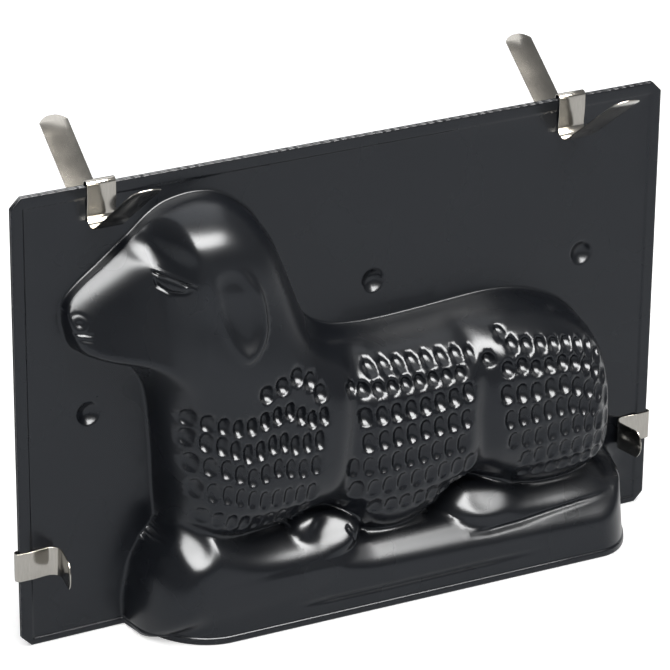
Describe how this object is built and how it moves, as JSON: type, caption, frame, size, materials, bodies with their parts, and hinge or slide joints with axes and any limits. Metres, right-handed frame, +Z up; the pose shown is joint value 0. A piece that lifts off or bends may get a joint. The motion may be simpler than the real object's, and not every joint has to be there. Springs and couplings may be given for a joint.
{
  "type": "lamb cake mould",
  "caption": "Two-part pressed steel mould for baking a lying lamb in the round, its halves clamped flange to flange by spring clips and filled through the open pedestal.",
  "frame": {"origin": "on the parting plane between the halves, at the middle of the edge the mould stands on", "axes": "+X along the flange, from the lamb's muzzle to its rump; -Y out of the front half; +Z up"},
  "size_m": [0.314, 0.0944, 0.2176],
  "materials": {
    "nonstick_coat": "dark non-stick coat, satin gloss",
    "spring_steel": "plain stainless strip, satin"
  },
  "bodies": {
    "back_half": {"back_half": "nonstick_coat"},
    "front_half": {"front_half": "nonstick_coat"},
    "top_clip_left": {"top_clip_left": "spring_steel"},
    "top_clip_right": {"top_clip_right": "spring_steel"},
    "side_clip_left": {"side_clip_left": "spring_steel"},
    "side_clip_right": {"side_clip_right": "spring_steel"}
  },
  "joints": [
    {"name": "front_half_lift_off", "type": "slide", "parent": "back_half", "child": "front_half", "axis": [0, -1, 0], "range_m": [0, 0.12]},
    {"name": "top_clip_left_pull", "type": "slide", "parent": "back_half", "child": "top_clip_left", "axis": [0, 0, 1], "range_m": [0, 0.045], "deforming": ["top_clip_left"]},
    {"name": "top_clip_right_pull", "type": "slide", "parent": "back_half", "child": "top_clip_right", "axis": [0, 0, 1], "range_m": [0, 0.045], "deforming": ["top_clip_right"]},
    {"name": "side_clip_left_pull", "type": "slide", "parent": "back_half", "child": "side_clip_left", "axis": [-1, 0, 0], "range_m": [0, 0.04], "deforming": ["side_clip_left"]},
    {"name": "side_clip_right_pull", "type": "slide", "parent": "back_half", "child": "side_clip_right", "axis": [1, 0, 0], "range_m": [0, 0.04], "deforming": ["side_clip_right"]}
  ]
}
